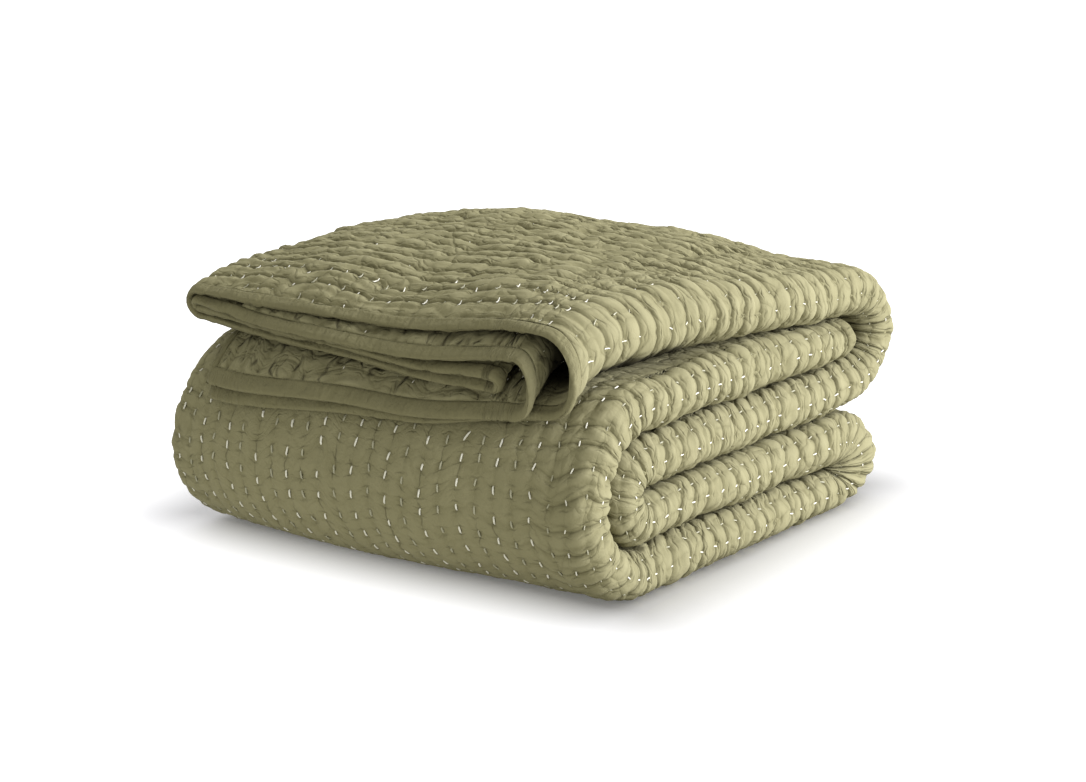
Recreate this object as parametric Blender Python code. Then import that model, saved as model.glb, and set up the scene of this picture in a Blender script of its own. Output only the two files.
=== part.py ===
# Kantha quilt folded for the shelf: one quilted cloth, folded six layers deep
# into a strip, and the strip folded into a stack of five. A bound edge runs
# all the way round the cloth.
#
# Frame: X runs from the hemmed side (left) to the folded side (right), Y from
# the front to the back, Z up. The origin is under the middle of the stack.

import bmesh
import bpy
import numpy as np
from math import radians

# ---- driving dimensions, metres ------------------------------------------

LAYER_COUNT = 6           # layers of cloth in the folded strip
LAYER_PITCH = 0.0070      # one layer with the air over it
CLOTH = 0.0054            # the quilted cloth itself
STRIP = LAYER_COUNT * LAYER_PITCH

WIDTH = 0.395             # the strip, from its left folds to its right folds
BACK_UPPER = 6.4 * STRIP  # centre of the upper back turn
BACK_LOWER = 5.85 * STRIP # centre of the lower back turn
HIDDEN_END = 6.3 * STRIP  # the strip's other end, inside the upper back turn
SWELL_UPPER = 1.03        # how far the upper back turn reaches, over a half circle
SWELL_LOWER = 1.8         # the lower back turn is drawn out to a nose

BINDING = 0.0105          # width of the bound edge
BINDING_THICK = 0.0056
SEAM_GAP = 0.0003         # between the cloth's edge and its binding
RIB_DEPTH = 0.0015        # hollows between the quilting's puffed ribs

HEM_INSET = 0.55 * STRIP         # side hems stop short of the left folds
HEM_INSET_FRONT = 1.15 * STRIP   # and more so at the open front end
OVERHANG_FRONT = -0.14 * STRIP   # the top strip's left folds, past the stack's
OVERHANG_BACK = 0.05 * STRIP
SECOND_INSET = 0.30 * STRIP       # the second strip's left folds, short of the stack's
SLIP_REACH = 4.5 * STRIP         # how far back the front end's looseness goes
SLIP_B = 0.50 * STRIP            # inner folds slip back from the outer one
SLIP_C = 0.95 * STRIP
SLIP_ALL = 0.62 * STRIP
CURL = 0.8 * LAYER_PITCH         # the outer fold opens into a curl at the front

FRONT_BOW = 0.52 * STRIP         # the front bows out past the middle
SKEW = 0.055                     # sideways lean of the stack, per metre of depth
UNDERSIDE = 0.5 * (LAYER_PITCH - CLOTH)   # height of the lowest face before the stack is set down
CENTRE = (0.2047, 0.1151)        # middle of the stack's bounds, seen from above

# The cloth's way across the strip, from one side hem to the other. Each layer
# has its height above the strip's underside, how far it opens up at the
# front's right and lifts at its left, all in layers, the side it starts from,
# and the angle at which its front end lies on the front turn, at the left, in
# the middle and at the right.
LAYERS = (
    # name, height, opens, lifts, starts, left angle, middle angle, right angle
    ("under_inner", 1.5, 0.00, 0.0, "left", 58, 55, 52),
    ("upper_second", 4.5, 1.20, 1.0, "right", 29, 36, 37),
    ("middle_upper", 3.5, 0.45, 1.0, "left", 30, 36, 48),
    ("middle_lower", 2.5, 0.12, 1.0, "right", 31, 37, 52),
    ("top", 5.5, 1.80, 1.0, "left", 28, 27, 30),
    ("under_outer", 0.5, 0.00, 0.0, "right", 64, 58, 44),
)
TOP = 4                                     # the layer that is outermost all along
LAYER_STATIONS = (0.22, 0.50, 0.76)         # across WIDTH, shared by all layers
FOLD_STEPS = (4, 3, 3, 4, 6)                # facets round each fold between layers

# The strip's way through the stack, from the open front end on top to the
# hidden end. Heights and radii are in strip thicknesses. A run's y values are
# its ends, and a turn's are its centre and its swell. In a row that is open to
# view the top layer is ribbed; the outer fold is ribbed in every row.
WAY = (
    # name, kind, y, end or swell, z, radius, side, grows, from, to, steps, ribs a step, open
    ("front_droop", "turn", 0.0, 1.0, 2.0, 2.5, 1, 1, -1, 0, 4, 2, True),
    ("run_top", "run", 0.0, BACK_UPPER, 4.5, 0, 0, 1, 0, 0, 4, 4, True),
    ("turn_upper", "turn", BACK_UPPER, SWELL_UPPER, 3.5, 1.0, 1, 1, 0, 180, 5, 2, True),
    ("run_middle", "run", BACK_UPPER, 0.0, 2.5, 0, 0, -1, 0, 0, 4, 3, False),
    ("turn_inner", "turn", 0.0, 1.0, 2.0, 0.5, -1, -1, 0, 180, 5, 1, False),
    ("run_lower", "run", 0.0, BACK_LOWER, 1.5, 0, 0, 1, 0, 0, 4, 3, False),
    ("turn_lower", "turn", BACK_LOWER, SWELL_LOWER, 1.0, 0.5, 1, 1, 0, 180, 5, 2, False),
    ("run_bottom", "run", BACK_LOWER, 0.0, 0.5, 0, 0, -1, 0, 0, 4, 3, False),
    ("turn_front", "turn", 0.0, 1.0, 2.0, 1.5, -1, 1, 180, 0, 7, 2, True),
    ("run_second", "run", 0.0, HIDDEN_END, 3.5, 0, 0, 1, 0, 0, 4, 3, False),
)
RUN_STATIONS = (0.25, 0.50, 0.75)           # along BACK_UPPER, shared by all runs

# How far the boundary over each strip of the stack moves up, in strip
# thicknesses: at the back, over the middle, at the left, at the front's right.
SETTLE = (
    # back, crown, left, front right
    (0.00, 0.00, 0.00, 0.00),
    (-0.13, -0.08, -0.08, 0.00),
    (-0.02, -0.06, -0.14, 0.00),
    (-0.05, 0.00, -0.14, 0.06),
    (-0.32, 0.08, -0.12, 0.19),
    (-0.32, 0.46, -0.15, 0.16),
)


def ease(t):
    """0 below 0, 1 above 1, and a smooth step between."""
    t = np.clip(t, 0.0, 1.0)
    return t * t * (3.0 - 2.0 * t)


def way_point(v, h, droop):
    """Y and Z of a point h above the strip's middle, at way number v.

    The whole part of v is a row of WAY and the rest is how far along it the
    point lies. droop is the angle of the layer's front end, in radians.
    """
    y = np.zeros_like(h)
    z = np.zeros_like(h)
    row = np.clip(np.floor(v).astype(int), 0, len(WAY) - 1)
    t = v - row
    for i, (_, kind, y0, other, level, radius, side, grows, a0, a1, _, _, _) in enumerate(WAY):
        if kind == "run":
            y_i = y0 + (other - y0) * t
            z_i = level * STRIP + grows * h
        else:
            start = -droop if i == 0 else radians(a0)
            angle = start + (radians(a1) - start) * t
            reach = radius * STRIP + grows * h
            y_i = y0 + side * other * reach * np.sin(angle)
            z_i = level * STRIP + reach * np.cos(angle)
        y = np.where(row == i, y_i, y)
        z = np.where(row == i, z_i, z)
    return y, z


def looseness(v):
    """1 at the open front end, falling to 0 along the top strip."""
    return 1.0 - ease((v - 1.0) * BACK_UPPER / SLIP_REACH)


def left_lift(v):
    """How much of the top strip's lift at its left is there at way number v."""
    return (1.0 - 0.5 * ease((v - 1.0) / 0.9)) * (1.0 - ease((v - 2.0) / 0.8))


def fold_centres(v):
    """X of the five folds' centres and of the side hems at way number v."""
    loose = looseness(v)
    right = WIDTH - 0.5 * STRIP - SLIP_ALL * loose
    over = OVERHANG_FRONT + (OVERHANG_BACK - OVERHANG_FRONT) * ease((v - 1.0) / 1.2)
    over = over * (1.0 - ease(v - 2.0)) - SECOND_INSET * ease(v - 8.2)
    left = 2.0 * LAYER_PITCH - over
    hem = HEM_INSET + (HEM_INSET_FRONT - HEM_INSET) * loose
    folds = (right - SLIP_B * loose, left, right - SLIP_C * loose, left, right - CURL * loose)
    return folds, hem


def layer_height(k, x, v):
    """Height of layer k above the strip's underside."""
    _, base, opens, lifts, _, _, _, _ = LAYERS[k]
    opening = opens * looseness(v) * ease((x / WIDTH - 0.45) / 0.4)
    lifting = lifts * left_lift(v) * np.clip(1.0 - x / (0.8 * WIDTH), 0.0, 1.0)
    return LAYER_PITCH * (base + opening + lifting)


def front_angle(k, x):
    """Angle of layer k's front end, a curve through its three values in LAYERS."""
    left, middle, right = LAYERS[k][5:]
    across = 2.0 * x / WIDTH - 1.0
    return middle + 0.5 * (right - left) * across + (0.5 * (right + left) - middle) * across ** 2


def layer_x(t, begin, end, going):
    """X along a layer, through its own ends and the stations that all layers share."""
    inner = [c * WIDTH + 0.0 * t for c in LAYER_STATIONS]
    stops = [begin + 0.0 * t] + (inner if going > 0 else inner[::-1]) + [end + 0.0 * t]
    count = len(stops) - 1
    cell = np.clip(np.floor(t * count).astype(int), 0, count - 1)
    low = np.choose(cell, stops[:-1])
    high = np.choose(cell, stops[1:])
    return low + (high - low) * (t * count - cell)


def section(s, v, lift):
    """X and height of a point of the strip's section, and its layer's front angle.

    Even whole numbers of s start a layer and odd ones the fold after it.
    lift is how far the point lies off the cloth's middle, on its face side.
    """
    folds, hem = fold_centres(v)
    x = np.zeros_like(s)
    h = np.zeros_like(s)
    droop = np.zeros_like(s)
    piece = np.clip(np.floor(s).astype(int), 0, 2 * LAYER_COUNT - 2)
    t = s - piece
    for i in range(2 * LAYER_COUNT - 1):
        k = i // 2
        going = 1.0 if LAYERS[k][4] == "left" else -1.0
        if i % 2 == 0:
            begin = hem if k == 0 else folds[k - 1]
            end = hem if k == LAYER_COUNT - 1 else folds[k]
            x_i = layer_x(t, begin, end, going)
            h_i = layer_height(k, x_i, v) + going * lift
            a_i = front_angle(k, x_i)
        else:
            rises = 1.0 if LAYERS[k + 1][1] > LAYERS[k][1] else -1.0
            turn = 0.5 * np.pi * (2.0 * t - 1.0) * rises
            here_h = layer_height(k, folds[k], v)
            next_h = layer_height(k + 1, folds[k], v)
            radius = 0.5 * np.abs(next_h - here_h) - going * rises * lift
            curl = CURL * looseness(v) if k == TOP else 0.0
            x_i = folds[k] + going * (radius + curl) * np.cos(turn)
            h_i = 0.5 * (here_h + next_h) + radius * np.sin(turn)
            a_i = front_angle(k, folds[k]) * (1.0 - t) + front_angle(k + 1, folds[k]) * t
        x = np.where(piece == i, x_i, x)
        h = np.where(piece == i, h_i, h)
        droop = np.where(piece == i, a_i, droop)
    return x, h - 0.5 * STRIP, np.radians(droop)


def settle(x, y, z):
    """The stack's give: crown, low back and left, raised right front, bowed front."""
    level = np.clip((z - UNDERSIDE) / STRIP, 0.0, len(SETTLE) - 1.001)
    k = np.floor(level).astype(int)
    f = level - k
    back = ease((y / STRIP - 3.8) / 3.4)
    across = np.clip(2.0 * x / WIDTH - 1.0, -1.0, 1.0)
    along = np.clip(2.0 * (y / STRIP + 1.5) / 9.3 - 1.0, -1.0, 1.0)
    crown = (1.0 - across ** 2) * (1.0 - along ** 2)
    left = 1.0 - ease((x / STRIP + 0.6) / 3.6)
    front_right = (1.0 - ease((y / STRIP + 1.4) / 2.4)) * ease((x / STRIP - 4.5) / 3.5)
    table = np.array(SETTLE)
    shares = (back, crown, left, front_right)
    rise = sum(((1.0 - f) * table[k, c] + f * table[k + 1, c]) * share for c, share in enumerate(shares))
    bow = np.sin(np.pi * np.clip((WIDTH - x) / (1.35 * WIDTH), 0.0, 1.0)) ** 2
    near_front = 1.0 - ease((y / STRIP + 0.5) / 5.0)
    return x + SKEW * y, y - FRONT_BOW * bow * near_front, z + STRIP * rise


def place(s, v, lift):
    """A point of the folded quilt, lift off the cloth's middle on its face side."""
    s, v, lift = np.broadcast_arrays(*(np.asarray(a, dtype=float) for a in (s, v, lift)))
    x, h, droop = section(s, v, lift)
    y, z = way_point(v, h, droop)
    x, y, z = settle(x, y, z)
    return np.stack([x - CENTRE[0], y - CENTRE[1], z - UNDERSIDE], axis=-1)


def across_stops(inset):
    """Section numbers of the grid's columns, inset from both side hems."""
    cells = len(LAYER_STATIONS) + 1
    stops = []
    for k in range(LAYER_COUNT):
        stops += [2 * k + j / cells for j in range(cells)]
        if k < LAYER_COUNT - 1:
            stops += [2 * k + 1 + j / FOLD_STEPS[k] for j in range(FOLD_STEPS[k])]
    stops.append(2.0 * LAYER_COUNT - 1.0)
    stops = np.array(stops)
    share = inset / (LAYER_STATIONS[0] * WIDTH - HEM_INSET) / cells
    stops[0] += share
    stops[-1] -= share
    return stops


def along_stops(inset):
    """Way numbers of the grid's rows, inset from both end hems."""
    stops = []
    for i, (_, kind, y0, other, _, _, _, _, _, _, steps, _, _) in enumerate(WAY):
        if kind == "run":
            share = sorted((c * BACK_UPPER - y0) / (other - y0) for c in RUN_STATIONS)
            stops += [float(i)] + [i + c for c in share]
        else:
            stops += [i + j / steps for j in range(steps)]
    stops.append(float(len(WAY)))
    stops = np.array(stops)
    stops[0] += inset / (2.5 * STRIP * radians(40))
    stops[-1] -= inset / HIDDEN_END
    return stops


def grid_cells(index):
    """The four corners of every cell of a grid of point numbers."""
    corners = (index[:-1, :-1], index[1:, :-1], index[1:, 1:], index[:-1, 1:])
    return np.stack(corners, -1).reshape(-1, 4)


def rim_cells(index, shift):
    """The faces round the edge of a grid, down to the same grid shift points on."""
    rim = np.concatenate([index[:, 0], index[-1, 1:], index[-2::-1, -1], index[0, -2:0:-1]])
    following = np.roll(rim, -1)
    return np.stack([following, rim, rim + shift, following + shift], -1)


def ribbed_cells(s, v, index, first):
    """Faces of the cloth's outer side, with ribs where it shows, and their new points.

    A ribbed cell is cut along its row into crests and hollows; the cell beside
    it takes the new points into its own edge, so the skin stays closed.
    """
    faces = []
    points = []
    extra = {}
    half = 0.5 * CLOTH
    for j in range(len(v) - 1):
        middle = 0.5 * (v[j] + v[j + 1])
        _, _, _, _, _, _, _, _, _, _, _, ribs, is_open = WAY[int(middle)]
        begin = 2 * TOP if is_open else 2 * TOP + 1
        ribbed = [begin < 0.5 * (s[i] + s[i + 1]) < 2 * TOP + 2 for i in range(len(s) - 1)]
        for i in range(len(s)):
            if not any(ribbed[max(i - 1, 0):i + 1]):
                continue
            share = np.arange(1, 2 * ribs) / (2 * ribs)
            uneven = 0.75 + 0.25 * np.sin(2.3 * i + 5.1 * (j + share))
            deep = RIB_DEPTH * uneven * (np.arange(1, 2 * ribs) % 2)
            new = place(s[i], v[j] + (v[j + 1] - v[j]) * share, half - deep)
            extra[i, j] = [first + len(points) + n for n in range(len(new))]
            points += new.tolist()
        for i in range(len(s) - 1):
            near = [index[i, j]] + extra.get((i, j), []) + [index[i, j + 1]]
            far = [index[i + 1, j]] + extra.get((i + 1, j), []) + [index[i + 1, j + 1]]
            if ribbed[i]:
                faces += [(near[n], far[n], far[n + 1], near[n + 1]) for n in range(len(near) - 1)]
            else:
                faces.append((*far, *near[::-1]))
    return faces, points


def make_object(name, points, faces, colour):
    """A closed mesh object with its material, its faces pointing outwards."""
    mesh = bpy.data.meshes.new(name)
    mesh.from_pydata(points, [], faces)
    shape = bmesh.new()
    shape.from_mesh(mesh)
    bmesh.ops.recalc_face_normals(shape, faces=shape.faces)
    if shape.calc_volume(signed=True) < 0.0:
        bmesh.ops.reverse_faces(shape, faces=shape.faces)
    bmesh.ops.triangulate(shape, faces=shape.faces)
    shape.to_mesh(mesh)
    shape.free()
    material = bpy.data.materials.new(name)
    material.use_nodes = True
    shader = material.node_tree.nodes["Principled BSDF"]
    shader.inputs["Base Color"].default_value = (*colour, 1.0)
    shader.inputs["Roughness"].default_value = 0.9
    shader.inputs["Metallic"].default_value = 0.0
    mesh.materials.append(material)
    mesh.shade_smooth()
    mesh.set_sharp_from_angle(angle=radians(50))
    obj = bpy.data.objects.new(name, mesh)
    bpy.context.collection.objects.link(obj)
    return obj


def quilt_body():
    """The quilted cloth inside its binding: an outer and an inner side and a rim."""
    s = across_stops(BINDING + SEAM_GAP)
    v = along_stops(BINDING + SEAM_GAP)
    outer = place(s[:, None], v[None, :], 0.5 * CLOTH).reshape(-1, 3)
    inner = place(s[:, None], v[None, :], -0.5 * CLOTH).reshape(-1, 3)
    count = len(outer)
    index = np.arange(count).reshape(len(s), len(v))
    ribbed, crests = ribbed_cells(s, v, index, 2 * count)
    faces = ribbed + grid_cells(index + count).tolist() + rim_cells(index, count).tolist()
    points = outer.tolist() + inner.tolist() + crests
    return make_object("quilt_body", points, faces, (0.36, 0.35, 0.20))


def edge_binding():
    """The bound edge: one strip carried round the four sides of the cloth."""
    s_in, v_in = across_stops(BINDING), along_stops(BINDING)
    s_out, v_out = across_stops(0.0), along_stops(0.0)
    n, m = len(s_in), len(v_in)
    loop = [(i, 0) for i in range(n)] + [(n - 1, j) for j in range(1, m)]
    loop += [(i, m - 1) for i in range(n - 2, -1, -1)] + [(0, j) for j in range(m - 2, 0, -1)]
    i, j = (np.array(a) for a in zip(*loop))
    half = 0.5 * BINDING_THICK
    # the strip's section: share of the way out, and height off the middle
    profile = ((0.0, half), (0.88, half), (1.0, 0.4 * half), (1.0, -0.4 * half), (0.88, -half), (0.0, -half))
    rings = []
    for w, t in profile:
        s = s_in[i] + (s_out[i] - s_in[i]) * w
        v = v_in[j] + (v_out[j] - v_in[j]) * w
        rings.append(place(s, v, t))
    points = np.stack(rings, axis=1)
    index = np.arange(points.shape[0] * points.shape[1]).reshape(points.shape[:2])
    ahead = np.roll(index, -1, axis=0)
    corners = (index, ahead, np.roll(ahead, -1, axis=1), np.roll(index, -1, axis=1))
    faces = np.stack(corners, -1).reshape(-1, 4)
    return make_object("edge_binding", points.reshape(-1, 3).tolist(), faces.tolist(), (0.33, 0.32, 0.18))


def main():
    for obj in list(bpy.data.objects):
        bpy.data.objects.remove(obj, do_unlink=True)
    quilt_body()
    edge_binding()


main()
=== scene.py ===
import math

import bmesh
import bpy
import numpy as np
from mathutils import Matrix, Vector
from mathutils.bvhtree import BVHTree


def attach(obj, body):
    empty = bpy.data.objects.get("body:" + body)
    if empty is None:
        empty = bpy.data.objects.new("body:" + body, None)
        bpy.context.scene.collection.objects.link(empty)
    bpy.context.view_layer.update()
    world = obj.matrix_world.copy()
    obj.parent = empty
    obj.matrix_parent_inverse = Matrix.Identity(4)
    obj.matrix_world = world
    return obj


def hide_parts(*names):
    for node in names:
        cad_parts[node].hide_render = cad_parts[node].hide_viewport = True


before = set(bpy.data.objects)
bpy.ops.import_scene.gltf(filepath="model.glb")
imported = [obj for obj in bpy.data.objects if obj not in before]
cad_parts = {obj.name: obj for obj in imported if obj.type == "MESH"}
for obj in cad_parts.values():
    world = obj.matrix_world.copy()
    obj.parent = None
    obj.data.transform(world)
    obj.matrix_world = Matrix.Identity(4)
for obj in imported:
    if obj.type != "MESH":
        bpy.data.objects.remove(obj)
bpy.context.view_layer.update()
print("frame loaded:", sorted(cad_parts))

# how the quilt is folded, in metres. Places across the cloth are section
# numbers, two for each layer: the layer, then the fold after it. Places along
# it are way numbers, which count wayTable's rows

fold = {
    "layers": 6,
    "pitch": 0.0070,  # one folded layer with the air over it
    "cloth": 0.0054,  # the quilted cloth
    "width": 0.395,  # the strip, between its left and right folds
    # in strip thicknesses
    "backUpper": 6.4, "backLower": 5.85, "hiddenEnd": 6.3,
    "hemInset": 0.55, "hemInsetFront": 1.15,
    "overhang": (-0.14, 0.05), "secondInset": 0.30,  # at the front, at the back
    "slipReach": 4.5, "slipOuter": 0.50, "slipInner": 0.95, "slipAll": 0.62,
    "bowed": 0.52,
    # in widths
    "bowReach": 1.35, "openFrom": 0.45, "openOver": 0.4, "liftReach": 0.8,
    "stations": (0.22, 0.50, 0.76),
    # in way numbers
    "liftHalved": 0.9, "liftEnded": 0.8, "overhangOver": 1.2, "secondFrom": 8.2,
    "curl": 0.8,  # in layer pitches
    "skew": 0.055, "swellUpper": 1.03, "swellLower": 1.8,
    "tightestTurn": 0.0004, "tightestFold": 0.0002,
    "centre": (0.2047, 0.1151),
    "sway": 0.0011, "swayFrom": 0.03,  # all of it from this height on
}
strip = fold["layers"] * fold["pitch"]
pitch = fold["pitch"]
width = fold["width"]
halfCloth = 0.5 * fold["cloth"]
underside = 0.5 * (pitch - fold["cloth"])

# height, opening at the front's right and lift at the left in layers, the side
# it starts from, and the angles of its front end at left, middle and right
layerTable = (
    (1.5, 0.00, 0.0, "left", 58, 55, 52),
    (4.5, 1.20, 1.0, "right", 29, 36, 37),
    (3.5, 0.45, 1.0, "left", 30, 36, 48),
    (2.5, 0.12, 1.0, "right", 31, 37, 52),
    (5.5, 1.80, 1.0, "left", 28, 27, 30),
    (0.5, 0.00, 0.0, "right", 64, 58, 44),
)
topLayer = 4

# the strip's way: a run has its two ends in y and a level, a turn has its
# centre, its swell, level, radius, side, growth and two angles
wayTable = (
    ("turn", 0.0, 1.0, 2.0, 2.5, 1, 1, 0, 0),
    ("run", 0.0, fold["backUpper"], 4.5, 0, 0, 1, 0, 0),
    ("turn", fold["backUpper"], fold["swellUpper"], 3.5, 1.0, 1, 1, 0, 180),
    ("run", fold["backUpper"], 0.0, 2.5, 0, 0, -1, 0, 0),
    ("turn", 0.0, 1.0, 2.0, 0.5, -1, -1, 0, 180),
    ("run", 0.0, fold["backLower"], 1.5, 0, 0, 1, 0, 0),
    ("turn", fold["backLower"], fold["swellLower"], 1.0, 0.5, 1, 1, 0, 180),
    ("run", fold["backLower"], 0.0, 0.5, 0, 0, -1, 0, 0),
    ("turn", 0.0, 1.0, 2.0, 1.5, -1, 1, 180, 0),
    ("run", 0.0, fold["hiddenEnd"], 3.5, 0, 0, 1, 0, 0),
)
sectionEnd = 2.0 * fold["layers"] - 1.0
wayEnd = float(len(wayTable))

# how far each boundary over a strip moves up: back, crown, left, front right
settleTable = np.array((
    (0.00, 0.00, 0.00, 0.00),
    (-0.13, -0.08, -0.08, 0.00),
    (-0.02, -0.06, -0.14, 0.00),
    (-0.05, 0.00, -0.14, 0.06),
    (-0.32, 0.08, -0.12, 0.19),
    (-0.32, 0.46, -0.15, 0.16),
))
# where its shares begin and how far they take, in strip thicknesses
settleSpans = {
    "back": (3.8, 3.4), "left": (-0.6, 3.6), "front": (-1.4, 2.4), "right": (4.5, 3.5),
    "bowed": (-0.5, 5.0), "stack": (-1.5, 9.3),
}
# two waves for each axis: share, radians a metre in x, y and z, and start
swayWaves = (
    ((1.0, (0, 41, 23), 1.0), (0.6, (0, -29, 67), 0.0)),
    ((1.0, (33, 0, -31), 0.0), (0.5, (71, 0, 0), 2.0)),
    ((1.0, (38, 27, 0), 2.2), (0.6, (-44, 61, 0), 0.0)),
)


def ease(t):
    # 0 below 0, 1 above 1, and a smooth step between
    t = np.clip(t, 0.0, 1.0)
    return t * t * (3.0 - 2.0 * t)


def wayPoint(v, h, droop):
    # y and z of a point h above the strip's middle: the whole part of v is a
    # row of wayTable, the rest how far along it
    row = np.clip(np.floor(v).astype(int), 0, len(wayTable) - 1)
    t = v - row
    y = z = 0.0 * h
    for i, (kind, y0, other, level, radius, side, grows, a0, a1) in enumerate(wayTable):
        if kind == "run":
            here = strip * (y0 + (other - y0) * t), level * strip + grows * h
        else:
            start = -droop if i == 0 else math.radians(a0)
            angle = start + (math.radians(a1) - start) * t
            reach = np.maximum(radius * strip + grows * h, fold["tightestTurn"])
            here = strip * y0 + side * other * reach * np.sin(angle), level * strip + reach * np.cos(angle)
        y, z = np.where(row == i, here, (y, z))
    return y, z


def looseness(v):
    # 1 at the open front end, falling to 0 along the top strip
    return 1.0 - ease((v - 1.0) * fold["backUpper"] / fold["slipReach"])


def foldCentres(v):
    # x of the five folds' centres and of the side hems
    loose = looseness(v)
    right = width - strip * (0.5 + fold["slipAll"] * loose)
    front, back = fold["overhang"]
    over = front + (back - front) * ease((v - 1.0) / fold["overhangOver"])
    second = fold["secondInset"] * ease(v - fold["secondFrom"])
    left = 2.0 * pitch - strip * (over * (1.0 - ease(v - 2.0)) - second)
    inset, insetFront = fold["hemInset"], fold["hemInsetFront"]
    hem = strip * (inset + (insetFront - inset) * loose)
    outer = right - strip * fold["slipOuter"] * loose
    inner = right - strip * fold["slipInner"] * loose
    return (outer, left, inner, left, right - fold["curl"] * pitch * loose), hem


def layerHeight(k, x, v):
    # height of layer k: its place in the strip, its opening and its lift
    base, opens, lifts = layerTable[k][:3]
    toRight = ease((x / width - fold["openFrom"]) / fold["openOver"])
    share = 1.0 - 0.5 * ease((v - 1.0) / fold["liftHalved"])
    share = share * (1.0 - ease((v - 2.0) / fold["liftEnded"]))
    toLeft = np.clip(1.0 - x / (fold["liftReach"] * width), 0.0, 1.0)
    return pitch * (base + opens * looseness(v) * toRight + lifts * share * toLeft)


def frontAngle(k, x):
    # angle of layer k's front end: a parabola through its three values
    left, middle, right = layerTable[k][4:]
    across = 2.0 * x / width - 1.0
    return middle + 0.5 * (right - left) * across + (0.5 * (right + left) - middle) * across ** 2


def layerX(t, begin, end, going):
    # x along a layer: straight between its ends and the shared stations
    inner = [c * width for c in fold["stations"]]
    stops = [begin] + inner[::going] + [end]
    count = len(stops) - 1
    cell = np.clip(np.floor(t * count).astype(int), 0, count - 1)
    low, high = np.choose(cell, stops[:-1]), np.choose(cell, stops[1:])
    return low + (high - low) * (t * count - cell)


def section(s, v, lift):
    # x, height and front angle of a point of the strip's section: layers are
    # straight, folds between them are half circles; lift is off the middle
    folds, hem = foldCentres(v)
    starts, ends = (hem,) + folds, folds + (hem,)
    piece = np.clip(np.floor(s).astype(int), 0, int(sectionEnd) - 1)
    t = s - piece
    x = h = droop = 0.0 * s
    for i in range(int(sectionEnd)):
        k = i // 2
        going = 1 if layerTable[k][3] == "left" else -1
        if i % 2 == 0:
            xHere = layerX(t, starts[k], ends[k], going)
            here = xHere, layerHeight(k, xHere, v) + going * lift, frontAngle(k, xHere)
        else:
            rises = np.sign(layerTable[k + 1][0] - layerTable[k][0])
            turn = 0.5 * np.pi * (2.0 * t - 1.0) * rises
            low, high = layerHeight(k, folds[k], v), layerHeight(k + 1, folds[k], v)
            radius = 0.5 * np.abs(high - low) - going * rises * lift
            radius = np.maximum(radius, fold["tightestFold"])
            curl = fold["curl"] * pitch * looseness(v) if k == topLayer else 0.0
            share = ease(t)
            angle = frontAngle(k, folds[k]) * (1.0 - share) + frontAngle(k + 1, folds[k]) * share
            xHere = folds[k] + going * (radius + curl) * np.cos(turn)
            here = xHere, 0.5 * (low + high) + radius * np.sin(turn), angle
        x, h, droop = np.where(piece == i, here, (x, h, droop))
    return x, h - 0.5 * strip, np.radians(droop)


def spanned(length, name):
    # how much of a settling span lies behind a length, below 0 and above 1 too
    begin, reach = settleSpans[name]
    return (length / strip - begin) / reach


def settle(x, y, z):
    # the stack's give: crown, low back and left, raised right front, bowed front
    level = np.clip((z - underside) / strip, 0.0, len(settleTable) - 1.001)
    k = np.floor(level).astype(int)
    f = level - k
    across = np.clip(2.0 * x / width - 1.0, -1.0, 1.0)
    along = np.clip(2.0 * spanned(y, "stack") - 1.0, -1.0, 1.0)
    shares = (
        ease(spanned(y, "back")),
        (1.0 - across ** 2) * (1.0 - along ** 2),
        1.0 - ease(spanned(x, "left")),
        (1.0 - ease(spanned(y, "front"))) * ease(spanned(x, "right")),
    )
    rise = sum(((1.0 - f) * settleTable[k, c] + f * settleTable[k + 1, c]) * share
               for c, share in enumerate(shares))
    fromRight = np.clip((width - x) / (fold["bowReach"] * width), 0.0, 1.0)
    bow = fold["bowed"] * strip * np.sin(np.pi * fromRight) ** 2 * (1.0 - ease(spanned(y, "bowed")))
    return x + fold["skew"] * y, y - bow, z + strip * rise


def sway(*at):
    # long soft waves through the whole stack, none at the floor
    at = list(at)
    most = fold["sway"] * ease(at[2] / fold["swayFrom"])
    for axis, waves in enumerate(swayWaves):
        at[axis] = at[axis] + most * sum(
            share * np.sin(sum(k * along for k, along in zip(perMetre, at)) + start)
            for share, perMetre, start in waves)
    return at


def place(s, v, lift):
    # a point of the folded quilt: section, then way, then the stack's give
    s, v, lift = np.broadcast_arrays(*(np.asarray(a, dtype=float) for a in (s, v, lift)))
    x, h, droop = section(s, v, lift)
    x, y, z = settle(x, *wayPoint(v, h, droop))
    centre = fold["centre"]
    return np.stack(sway(x - centre[0], y - centre[1], z - underside), axis=-1)


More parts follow.
